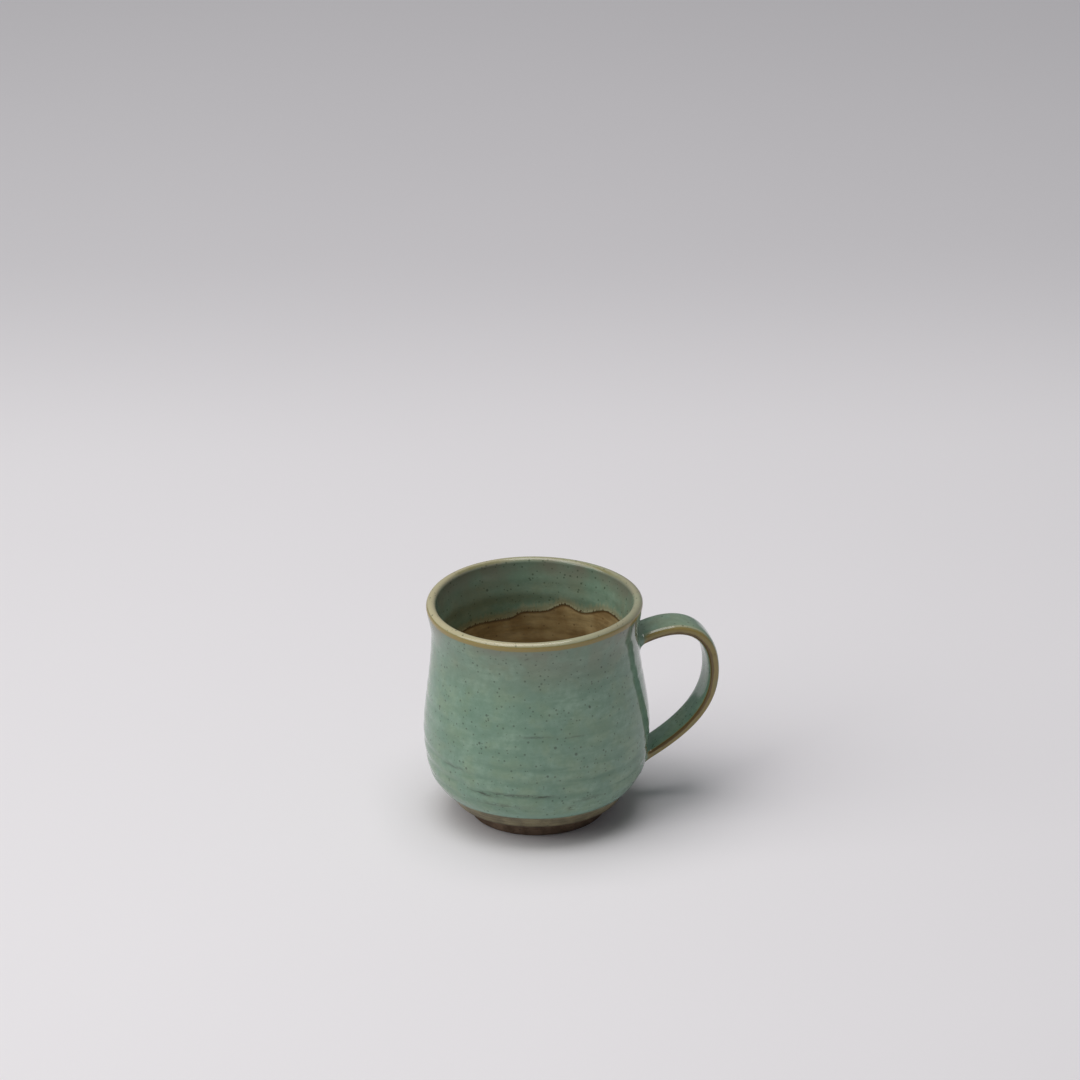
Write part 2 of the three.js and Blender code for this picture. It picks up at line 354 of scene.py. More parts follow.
def piece_from_rows(name, rows, normals=None, closed=False, low_pole=None, high_pole=None, marks=None):
    """A mesh of rows of points that close round. closed joins the last row to the first, and a
    pole is a point that fans out to the first or last row. marks are values for each point."""
    count, around = rows.shape[:2]
    points = list(rows.reshape(-1, 3))
    faces = []
    for i in range(count if closed else count - 1):
        a, b = i * around, ((i + 1) % count) * around
        for j in range(around):
            k = (j + 1) % around
            faces.append((a + j, a + k, b + k, b + j))
    for pole, start, flip in ((low_pole, 0, True), (high_pole, (count - 1) * around, False)):
        if pole is None:
            continue
        tip = len(points)
        points.append(np.array(pole))
        for j in range(around):
            edge = (start + j, start + (j + 1) % around)
            faces.append((edge[1], edge[0], tip) if flip else (edge[0], edge[1], tip))
    mesh = bpy.data.meshes.new(name)
    mesh.from_pydata([tuple(p) for p in points], [], faces)
    mesh.update()
    for key, values in (marks or {}).items():
        mark = mesh.attributes.new(key, "FLOAT", "POINT")
        flat = np.zeros(len(points), np.float32)
        flat[:count * around] = np.broadcast_to(values, (count, around)).reshape(-1)
        mark.data.foreach_set("value", flat)
    if signed_volume(mesh) < 0:
        mesh.flip_normals()
    mesh.shade_smooth()
    if normals is not None:
        flat = np.zeros((len(points), 3))
        flat[:count * around] = normals.reshape(-1, 3)
        # The low pole comes first and faces down, and the high one faces up.
        flat[count * around:, 2] = 1
        if low_pole is not None:
            flat[count * around, 2] = -1
        mesh.normals_split_custom_set_from_vertices([tuple(n) for n in flat])
    piece = bpy.data.objects.new(name, mesh)
    bpy.context.scene.collection.objects.link(piece)
    return piece


def signed_volume(mesh):
    """Volume of a closed mesh, negative if its faces point in."""
    mesh.calc_loop_triangles()
    corners = np.array([mesh.vertices[i].co for t in mesh.loop_triangles for i in t.vertices])
    a, b, c = corners.reshape(-1, 3, 3).transpose(1, 0, 2)
    return float(np.sum(a * np.cross(b, c)) / 6)


def coat_from_rows(name, face, normals, thickness, marks, axis_end=None):
    """A coat of glaze: its face, and a back that lies its thickness under the face, with a third
    of the rows. A face that ends on the axis has its last point there, and its back under it."""
    last = len(face) - 1
    chosen = sorted({*range(0, last + 1, 3), last}, reverse=True)
    back = (face - normals * thickness)[chosen]
    if axis_end is None:
        rows = np.concatenate([face, back])
        all_normals = np.concatenate([normals, -normals[chosen]])
        all_marks = {key: np.concatenate([value, value[chosen]]) for key, value in marks.items()}
        return piece_from_rows(name, rows, all_normals, closed=True, marks=all_marks)
    rows = np.concatenate([back, face])
    all_normals = np.concatenate([-normals[chosen], normals])
    all_marks = {key: np.concatenate([value[chosen], value]) for key, value in marks.items()}
    under = Vector(axis_end) - Vector((0, 0, thickness))
    return piece_from_rows(
        name, rows, all_normals, low_pole=under, high_pole=axis_end, marks=all_marks)


def finish_piece(piece, material, slot, *nodes):
    """Gives a piece its material and its body, and hides the frame nodes that it stands for."""
    piece.data.materials.append(material)
    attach(piece, "root")
    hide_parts(*nodes)
    return piece


# ------------------------------------------------------------------ material nodes

SMOOTH = {"interpolation_type": "SMOOTHSTEP"}


def add(tree, kind, inputs=(), out=0, **settings):
    """Adds a node with its settings and links, and gives one of its outputs. inputs are values or
    other nodes' outputs, in the order of the sockets or by their names or places."""
    made = tree.nodes.new("ShaderNode" + kind)
    for name, value in settings.items():
        setattr(made, name, value)
    for socket, value in inputs.items() if isinstance(inputs, dict) else enumerate(inputs):
        target = made.inputs[socket]
        if isinstance(value, bpy.types.NodeSocket):
            tree.links.new(value, target)
        else:
            target.default_value = value
    return made.outputs[out] if made.outputs else None


def layered(tree, base, *layers):
    """Lays colours over a base, one after another. Each layer is how much of it shows, and its
    colour. An amount of two values is their product."""
    for amount, colour in layers:
        if isinstance(amount, tuple):
            amount = add(tree, "Math", amount, operation="MULTIPLY")
        base = add(tree, "Mix", {0: amount, 6: base, 7: colour}, out=2, data_type="RGBA")
    return base


def start_material(name):
    """A new material, its node tree, and the place on the mug in millimetres from the axis."""
    material = bpy.data.materials.new(name)
    material.use_nodes = True
    tree = material.node_tree
    tree.nodes.clear()
    place = add(tree, "TexCoord", out="Object")
    moved = add(tree, "VectorMath", (place, (-AXIS_X, 0, 0)), operation="ADD")
    where = add(tree, "VectorMath", {0: moved, "Scale": 1 / MM}, operation="SCALE")
    return material, tree, where


def mottling(tree, where, size_mm, detail=3.0, rough=0.55, stretch=(1, 1, 1)):
    """Soft mottling with cells of a real size. A stretch below 1 draws the cells out that way."""
    spread = add(tree, "VectorMath", (where, stretch), operation="MULTIPLY")
    return add(
        tree, "TexNoise",
        {"Vector": spread, "Scale": 1 / size_mm, "Detail": detail, "Roughness": rough}, out="Fac")


def iron_specks(tree, where, spacing_mm, size, share):
    """Round iron specks, one to a cell at most, where chance allows. size is a share of a cell."""
    cells = {"Vector": where, "Scale": 1 / spacing_mm, "Randomness": 1.0}
    distance = add(tree, "TexVoronoi", cells, out="Distance")
    cell_colour = distance.node.outputs["Color"]
    chances = add(tree, "SeparateColor", (cell_colour,)).node.outputs
    kept = add(tree, "Math", (chances[0], share), operation="LESS_THAN")
    radius = add(tree, "Math", (chances[1], size), operation="MULTIPLY")
    spot = add(tree, "Math", (radius, distance), operation="SUBTRACT")
    soft = add(tree, "MapRange", (spot, -0.02, 0.05, 0, 1), **SMOOTH)
    return add(tree, "Math", (soft, kept), operation="MULTIPLY")


def surface_output(tree, colour, roughness, normal, ior=1.52):
    """Clear gloss over the surface's own colour."""
    shader = add(
        tree, "BsdfPrincipled",
        {"Base Color": colour, "Roughness": roughness, "IOR": ior, "Normal": normal})
    add(tree, "OutputMaterial", {"Surface": shader})


def celadon_glaze(scene):
    """Reduction-fired celadon, poured and dipped. It looks deep and wet: pale where it runs thin,
    bluish green where it pools in the throwing grooves, ochre where it breaks on an edge, with
    iron specks from the clay coming through."""
    colours = scene.mug_glaze
    green, pale, deep = tuple(colours.green), tuple(colours.pale), tuple(colours.deep)
    material, tree, where = start_material("celadon_glaze_poured")
    height = add(tree, "SeparateXYZ", (where,), out="Z")

    # Soft cloudiness about 16 mm across, mottling of 2.6 mm, and warmer patches of 9 mm.
    soft = mottling(tree, where, 16.0, stretch=(1, 1, 0.7))
    clouds = add(tree, "MapRange", (soft, 0.34, 0.66, 0, 1), **SMOOTH)
    fine = mottling(tree, where, 2.6, 5.0, 0.7)
    mottle = add(tree, "MapRange", (fine, 0.36, 0.66, 0, 1), **SMOOTH)
    patches = mottling(tree, where, 9.0)
    warm = add(tree, "MapRange", (patches, 0.42, 0.66, 0, 0.30), **SMOOTH)
    base = layered(tree, green, (clouds, pale), ((mottle, 0.46), deep), (warm, linear("#8c9c76")))

    # Glaze pools in the grooves, and lies in level streaks that the wheel drew.
    pool = add(tree, "Attribute", out="Fac", attribute_name="pool")
    level = mottling(tree, where, 3.4, 3.0, 0.6, stretch=(0.22, 0.22, 1.0))
    streaks = add(tree, "MapRange", (level, 0.36, 0.60, 0.1, 0.85), **SMOOTH)
    base = layered(tree, base, ((pool, streaks), deep))

    # A greyish mauve haze under the lip, where iron fumes from the clay, starting at 62 mm.
    drift = mottling(tree, where, 18.0)
    haze_patch = add(tree, "MapRange", (drift, 0.30, 0.62, 0.35, 1.0), **SMOOTH)
    haze_soft = add(tree, "MapRange", (height, 62.0, 87.0, 0, 0.62), **SMOOTH)
    haze_near = add(tree, "MapRange", (height, 82.5, 88.5, 0, 0.38), **SMOOTH)
    haze = add(tree, "Math", (haze_soft, haze_near), operation="ADD")
    base = layered(tree, base, ((haze, haze_patch), linear("#7b7e6e")))

    # The top of the lip, where the glaze lies thinly over pale slip, is cream with a painted highlight along
    # it, which is also painted on the handle's upper crests, and the thick roll along the lower edge is
    # paler green.
    cream_and_highlight = add(tree, "Attribute", out="Fac", attribute_name="cream_and_highlight")
    roll = add(tree, "Attribute", out="Fac", attribute_name="roll")
    base = layered(tree, base, ((cream_and_highlight, 0.8), linear("#bdb693")), ((roll, 0.55), linear("#8fae9f")))

    # Iron specks: fine ones of half a millimetre, and a few of about one.
    fine_specks = iron_specks(tree, where, 1.5, 0.34, 0.55)
    coarse_specks = iron_specks(tree, where, 4.0, 0.17, 0.60)
    base = layered(
        tree, base, ((fine_specks, 0.58), linear("#445341")), ((coarse_specks, 0.62), linear("#3a4738")))

    # Dark iron streaks that the wheel drew out level.
    iron = add(tree, "Attribute", out="Fac", attribute_name="iron")
    drawn = mottling(tree, where, 1.6, 4.0, 0.65, stretch=(0.45, 0.45, 1.6))
    broken = add(tree, "MapRange", (drawn, 0.38, 0.55, 0, 1), **SMOOTH)
    base = layered(tree, base, ((iron, broken), linear("#3f4739")))

    # The break: olive, then ochre, then a thin brown line where the clay nearly shows. On the handle the
    # brown also holds painted shade where the edges turn under.
    grain = mottling(tree, where, 2.2, 4.0, 0.7)
    centred = add(tree, "Math", (grain, 0.5), operation="SUBTRACT")
    ragged = add(tree, "Math", (centred, 0.6), operation="MULTIPLY")
    thin_mark = add(tree, "Attribute", out="Fac", attribute_name="thin_and_shade")
    thin_and_shade = add(tree, "Math", (thin_mark, ragged), operation="ADD")
    olive = add(tree, "MapRange", (thin_and_shade, 0.10, 0.60, 0, 0.9), **SMOOTH)
    ochre = add(tree, "MapRange", (thin_and_shade, 0.45, 0.95, 0, 1), **SMOOTH)
    brown = add(tree, "MapRange", (thin_and_shade, 1.05, 1.40, 0, 0.8), **SMOOTH)
    base = layered(
        tree, base, (olive, linear("#85845f")), (ochre, tuple(colours.ochre)), (brown, linear("#5f4728")))

    # Inside, the green thins to tan just over the brown lining, in fine runs 3 to 6 mm long, and
    # ends in a dark edge with teeth like hairs.
    above = add(tree, "Attribute", out="Fac", attribute_name="above")
    runs = mottling(tree, where, 1.1, 3.0, 0.6, stretch=(1, 1, 0.22))
    reach = add(tree, "MapRange", (runs, 0.3, 0.7, 3.4, 6.0), **SMOOTH)
    share = add(tree, "Math", (above, reach), operation="DIVIDE")
    halo_near = add(tree, "Math", (1.0, share), operation="SUBTRACT")
    halo = add(tree, "MapRange", (halo_near, 0, 1, 0, 0.85), **SMOOTH)
    hairs = mottling(tree, where, 0.42, 2.0, 0.6, stretch=(1, 1, 0.22))
    tooth = add(tree, "MapRange", (hairs, 0.44, 0.72, 0.35, 1.5), **SMOOTH)
    tooth_left = add(tree, "Math", (tooth, above), operation="SUBTRACT")
    edge = add(tree, "MapRange", (tooth_left, -0.12, 0.22, 0, 0.88), **SMOOTH)
    base = layered(tree, base, (halo, linear("#aaa684")), (edge, linear("#4f3d26")))

    # The skin of the glaze: faint orange peel of 1.6 mm, and the pits of specks.
    wetness = mottling(tree, where, 5.0)
    rough = add(tree, "MapRange", (wetness, 0.3, 0.7, 0.07, 0.13), **SMOOTH)
    peel = mottling(tree, where, 1.6, 2.0)
    skin = add(tree, "Bump", {"Strength": 0.3, "Distance": 0.03 * MM, "Height": peel})
    pitted = {"Strength": 0.15, "Distance": 0.05 * MM, "Height": fine_specks, "Normal": skin}
    surface_output(tree, base, rough, add(tree, "Bump", pitted, invert=True))
    return material


def brown_liner_glaze(scene):
    """Iron-brown liner glaze, poured in and out. It looks smooth and satiny, darkest along its
    edge, with soft clouding of 12 mm and the wheel's level lines 3 mm apart."""
    material, tree, where = start_material("brown_liner_glaze_poured")
    soft = mottling(tree, where, 12.0, 4.0)
    clouds = add(tree, "MapRange", (soft, 0.35, 0.65, 0, 1), **SMOOTH)
    level = mottling(tree, where, 3.0, 3.0, 0.6, stretch=(0.3, 0.3, 2.2))
    lines = add(tree, "MapRange", (level, 0.40, 0.66, 0, 1), **SMOOTH)
    specks = iron_specks(tree, where, 1.9, 0.30, 0.25)
    above = add(tree, "Attribute", out="Fac", attribute_name="above")
    edge = add(tree, "MapRange", (above, -1.1, -0.1, 0, 0.75), **SMOOTH)
    base = layered(
        tree, tuple(scene.mug_glaze.liner),
        (clouds, linear("#9a8259")),
        ((lines, 0.25), linear("#5b472c")),
        ((specks, 0.45), linear("#3c2e1d")),
        (edge, linear("#5a4327")))
    satin = mottling(tree, where, 6.0)
    rough = add(tree, "MapRange", (satin, 0.3, 0.7, 0.16, 0.26), **SMOOTH)
    peel = mottling(tree, where, 1.8, 2.0)
    skin = add(tree, "Bump", {"Strength": 0.35, "Distance": 0.03 * MM, "Height": peel})
    surface_output(tree, base, rough, skin)
    return material


def bare_stoneware(name, top, deep, roughness):
    """Turned stoneware, fired bare. It looks dry and close, with grog specks and the level
    scratches of the turning tool. The real grain is finer than the half millimetre drawn here,
    which is as fine as shows."""
    material, tree, where = start_material(name)
    soft = mottling(tree, where, 6.0, 4.0)
    clouds = add(tree, "MapRange", (soft, 0.35, 0.65, 0, 1), **SMOOTH)
    scratches = mottling(tree, where, 0.9, 2.0, 0.6, stretch=(0.15, 0.15, 2.0))
    scratched = add(tree, "MapRange", (scratches, 0.4, 0.65, 0, 1), **SMOOTH)
    grog = iron_specks(tree, where, 1.3, 0.30, 0.35)
    # Painted shade: dark red-brown on the underside below the ledge and along the foot where it meets the
    # floor.
    underside_shade = add(tree, "Attribute", out="Fac", attribute_name="underside_shade")
    base = layered(
        tree, top,
        (clouds, deep),
        ((scratched, 0.35), deep),
        ((grog, 0.6), linear("#2b211a")),
        (underside_shade, linear("#3a2117")))
    grain = mottling(tree, where, 0.5, 3.0, 0.7)
    bump = add(tree, "Bump", {"Strength": 0.6, "Distance": 0.06 * MM, "Height": grain})
    scored = {"Strength": 0.5, "Distance": 0.08 * MM, "Height": scratches, "Normal": bump}
    cut = add(tree, "Bump", scored)
    rough = add(tree, "MapRange", (grain, 0.3, 0.7, roughness, roughness + 0.18), **SMOOTH)
    surface_output(tree, base, rough, cut, ior=1.5)
    return material


def rolled_paper(scene):
    """Matt background paper, rolled. It looks even, with the faintest tooth, and is painted a little greyer
    behind the mug, as shade away from the light."""
    studio = scene.mug_studio
    material, tree, where = start_material("background_paper_rolled")
    soft = mottling(tree, where, 260.0, 2.0)
    clouds = add(tree, "MapRange", (soft, 0.3, 0.7, 0, 1), **SMOOTH)
    backwards = (sin(studio.bearing), cos(studio.bearing), 0)
    away = add(tree, "VectorMath", (where, backwards), out="Value", operation="DOT_PRODUCT")
    # Painted shade: the paper greys with distance behind the mug, away from the light.
    painted_shade_behind = add(tree, "MapRange", (away, 340.0, 620.0, 0, 0.22), **SMOOTH)
    tone = layered(
        tree, tuple(studio.paper), ((clouds, 0.03), linear("#c8c8cc")), (painted_shade_behind, linear("#8c8c92")))
    tooth = mottling(tree, where, 0.8, 2.0)
    bump = add(tree, "Bump", {"Strength": 0.15, "Distance": 0.05 * MM, "Height": tooth})
    surface_output(tree, tone, 0.85, bump, ior=1.3)
    return material


# ------------------------------------------------------------------ the pieces


AROUND = 576
# How far under the lining's edge, in mm, its marks stop changing.
DEEP = -6.0


class GlazedSurface:
    """One continuous glazed surface, from the green's lower edge over the lip to the middle of
    the floor inside. The coats are cut from it, so that they meet without a seam."""

    def __init__(self, form):
        self.form = form
        self.angle = np.arange(AROUND) / AROUND * tau
        self.line = form.glaze_line(self.angle)
        self.rows = []
        self.marks = {key: [] for key in ("thin_and_shade", "pool", "roll", "iron", "above", "cream_and_highlight")}
        self.green_outside()
        self.over_the_lip()
        self.green_inside()
        self.brown_lining()
        self.points = np.array(self.rows)
        self.marks = {key: np.array(rows) for key, rows in self.marks.items()}
        self.normals = row_normals(self.points)

    def green_outside(self):
        """The rolled lower edge, from the clay round and out to the face, and the wall above."""
        form, line, thickness = self.form, self.line, self.form.glaze.thickness
        steps, roll = 7, 0.34 * MM
        for i in range(steps):
            swing = -pi / 2 + pi / 2 * i / steps
            height = line + roll * (1 + sin(swing))
            proud = (thickness + 0.06 * MM) * cos(swing)
            self.put(form.outside(self.angle, height) - thickness + proud, height)
        steps = 150
        for i in range(steps):
            t = i / steps
            height = line + roll + (form.lip_height - line - roll) * t
            above = (height - line) / MM
            fat = 0.16 * MM * bell(above - 1.4, 1.3) + 0.06 * MM * bell(above, 1.0)
            self.put(form.outside(self.angle, height) + fat, height)

    def over_the_lip(self):
        """The round of the lip. The outer coat ends three quarters of the way over it."""
        form, steps = self.form, 28
        self.outer_end = len(self.rows) + steps * 3 // 4
        for i in range(steps):
            swing = pi * i / steps
            radius = form.lip_radius + form.lip * cos(swing)
            self.put(radius, form.lip_height + form.lip * sin(swing), swing=swing)

    def green_inside(self):
        """From the lip down to the lining, fattest just before it ends."""
        form, steps = self.form, 60
        edge = form.liner_line(self.angle)
        for i in range(steps):
            t = i / steps
            height = form.lip_height + (edge - form.lip_height) * t
            above = (height - edge) / MM
            fat = 0.14 * MM * bell(above - 0.5, 0.5) + 0.10 * MM * bell(above - 2.2, 1.6)
            self.put(form.inside(self.angle, height) - fat, height, above=above)
        self.liner_start = len(self.rows)

    def brown_lining(self):
        """The wall below the green, the round of the bowl, and the floor with its ripples."""
        form, cup = self.form, self.form.cup
        edge = form.liner_line(self.angle)
        steps = 40
        for i in range(steps):
            t = i / steps
            height = edge + (cup.bowl_height - edge) * t
            self.put(form.inside(self.angle, height), height, above=(height - edge) / MM)
        steps = 44
        reach = form.inside(self.angle, cup.bowl_height + 0 * self.angle) - cup.floor_radius
        for i in range(steps):
            swing = pi / 2 * i / steps
            drop = (cup.bowl_height - cup.floor_height) * sin(swing)
            self.put(cup.floor_radius + reach * cos(swing), cup.bowl_height - drop, above=DEEP)
        steps = 16
        for i in range(steps):
            radius = cup.floor_radius * (1 - i / steps)
            ripple = 0.12 * MM * sin(tau * radius / (5.5 * MM))
            self.put(radius, cup.floor_height + ripple, above=DEEP)

    def put(self, radius, height, swing=None, above=None):
        """Adds a row, with what its glaze is like there. swing is how far over the lip the row
        lies, and above is how far over the lining's edge it is, in mm."""
        form, angle = self.form, self.angle
        level = np.zeros_like(angle)
        radius, height = radius + level, height + level
        self.rows.append(at_bearing(angle, radius, form.wobble(angle, height)))
        outside = above is None and swing is None
        # Millimetres along the lip's section, from where the wall meets it outside.
        up = (height - form.lip_height) / MM
        over = up if outside else form.lip / MM * pi - up
        if swing is not None:
            over = form.lip / MM * swing
        over = over + 0.35 * wander(angle, 61, 9)
        outer_break = smoothstep(-1.6, -0.6, over) - smoothstep(0.5, 1.5, over)
        at_back = bell(turn_from(angle, 40), 30) + bell(turn_from(angle, 115), 24)
        inner_break = 0.6 * at_back * bell(over - 4.3, 0.8)
        # Cream over the lip's top, with a painted highlight that is stronger on the left, towards the key
        # light.
        cream_and_highlight = smoothstep(0.1, 1.0, over) - smoothstep(3.8, 5.8, over)
        from_line = (height - self.line) / MM
        here = {
            "thin_and_shade": np.maximum(outer_break, inner_break),
            "pool": 0.5 - 0.5 * form.groove_wave(angle, height) if outside else 0.5 + level,
            "roll": bell(from_line - 1.3, 1.5) if outside else level,
            "iron": iron_marks(angle, height) if outside else level,
            "above": 20 + level if above is None else np.clip(above, DEEP, 20) + level,
            "cream_and_highlight": cream_and_highlight * (0.8 - 0.3 * np.cos(angle - 0.1)),
        }
        for key, values in here.items():
            self.marks[key].append(values)

    def coat(self, name, first, last, axis_end=None):
        """Cuts one coat from the surface, between two of its rows."""
        rows = slice(first, last + 1)
        marks = {key: value[rows] for key, value in self.marks.items()}
        thickness = self.form.glaze.thickness
        return coat_from_rows(name, self.points[rows], self.normals[rows], thickness, marks, axis_end)


# Iron marks drawn out on the wheel: bearing and height of the middle, and how far each spreads.
IRON_MARKS = (
    (-131, 24.6, 8, 0.7, 1.0),
    (-116, 25.8, 10, 0.6, 0.9),
    (-100, 25.4, 6, 0.7, 0.9),
    (-84, 18.7, 2.0, 1.0, 1.3),
    (-124, 20.5, 12, 0.8, 0.6),
    (-75, 22.0, 9, 0.8, 0.5),
    (-108, 84.8, 1.6, 0.6, 0.9),
    (-103, 51.3, 8, 0.5, 0.6),
    (-82, 50.2, 5, 0.4, 0.5),
    (-150, 33.0, 8, 0.7, 0.6),
    (40, 23.0, 14, 1.0, 0.8),
    (95, 27.0, 10, 0.9, 0.7),
    (150, 21.5, 15, 0.9, 0.9),
)


def iron_marks(angle, height):
    """How much iron shows at a place on the outside."""
    total = np.zeros_like(angle)
    for bearing, middle, spread, tall, strength in IRON_MARKS:
        across = bell(turn_from(angle, bearing), spread)
        total = total + strength * across * bell(height - middle * MM, tall * MM)
    return np.clip(total, 0, 1)


def clay_cup_rows(form):
    """The clay under the glaze, and its bare underside and band, from the middle of the foot's
    recess out, up the wall, over and down the inside."""
    cup, foot, glaze = form.cup, form.foot, form.glaze
    angle = np.arange(AROUND) / AROUND * tau
    rows = []

    def put(radius, height):
        rows.append(at_bearing(angle, radius + 0 * angle, form.wobble(angle, height)))

    recess_steps = 14
    for i in range(1, recess_steps + 1):
        radius = foot.inner_radius * i / recess_steps
        put(radius, foot.recess + 0.05 * MM * sin(tau * radius / (3.1 * MM)))
    put(foot.inner_radius, foot.height - 0.02 * MM)
    put(foot.top_radius - 0.1 * MM, foot.height)
    soffit_steps = 6
    for i in range(soffit_steps):
        t = i / soffit_steps
        radius = foot.top_radius + (cup.ledge_radius - 0.5 * MM - foot.top_radius) * t
        put(radius, foot.height + (cup.ledge_height - 0.35 * MM - foot.height) * t * t)
    corner_steps = 6
    for i in range(corner_steps):
        swing = -pi / 2 + pi / 2 * i / corner_steps
        put(cup.ledge_radius - 0.45 * MM * (1 - cos(swing)), cup.ledge_height + 0.4 * MM * sin(swing))
    band_steps = 22
    covered = glaze.line_height + 1.5 * MM
    for i in range(band_steps):
        height = cup.ledge_height + (covered - cup.ledge_height) * i / band_steps
        cover = min(1.0, (height - cup.ledge_height) / (glaze.line_height - cup.ledge_height))
        tooled = 0.05 * MM * sin(tau * height / (1.7 * MM))
        put(form.outside(angle, height + 0 * angle) - glaze.thickness * cover + tooled, height)
    under = glaze.thickness + 0.02 * MM
    wall_steps = 40
    for i in range(wall_steps):
        t = i / wall_steps
        height = covered + (form.lip_height - covered) * t
        put(form.outside(angle, height + 0 * angle) - under, height)
    lip_steps = 8
    for i in range(lip_steps):
        swing = pi * i / lip_steps
        round_lip = form.lip - under
        put(form.lip_radius + round_lip * cos(swing), form.lip_height + round_lip * sin(swing))
    inner_steps = 24
    for i in range(inner_steps):
        height = form.lip_height + (cup.bowl_height - form.lip_height) * i / inner_steps
        put(form.inside(angle, height + 0 * angle) + under, height)
    bowl_steps = 12
    reach = form.inside(angle, cup.bowl_height + 0 * angle) - cup.floor_radius + under
    for i in range(bowl_steps + 1):
        swing = pi / 2 * i / bowl_steps
        depth = cup.bowl_height - cup.floor_height + under
        put(cup.floor_radius + reach * cos(swing), cup.bowl_height - depth * sin(swing))
    return np.array(rows)


def foot_ring_rows(form):
    """The turned ring: a slightly hollow outer face, soft arrises and a flat to stand on."""
    foot = form.foot
    angle = np.arange(AROUND) / AROUND * tau
    chips = 0.10 * MM * np.clip(wander(angle, 71, 30, first=8) - 0.5, 0, 1)
    rows = []

    def put(radius, height, chip=0.0):
        rows.append(at_bearing(angle, radius - chip * chips, height + 0 * angle))

    flat = 0.7 * MM
    arris = 5
    put(foot.inner_radius + flat, 0)
    put(foot.base_radius - flat, 0)
    for i in range(1, arris + 1):
        swing = -pi / 2 + pi / 2 * i / arris
        put(foot.base_radius - flat * (1 - cos(swing)), flat * (1 + sin(swing)), chip=1.0)
    face_steps = 16
    for i in range(1, face_steps + 1):
        t = i / face_steps
        height = flat + (foot.height - flat) * t
        hollow = 0.35 * MM * sin(pi * t) + 0.04 * MM * sin(tau * height / (1.1 * MM))
        put(foot.base_radius + (foot.top_radius - foot.base_radius) * t * t - hollow, height)
    put(foot.inner_radius, foot.height)
    put(foot.inner_radius, foot.recess)
    for i in range(arris + 1):
        swing = pi + pi / 2 * i / arris
        put(foot.inner_radius + flat * (1 + cos(swing)), flat * (1 + sin(swing)))
    return np.array(rows[:-1])


# ------------------------------------------------------------------ the handle


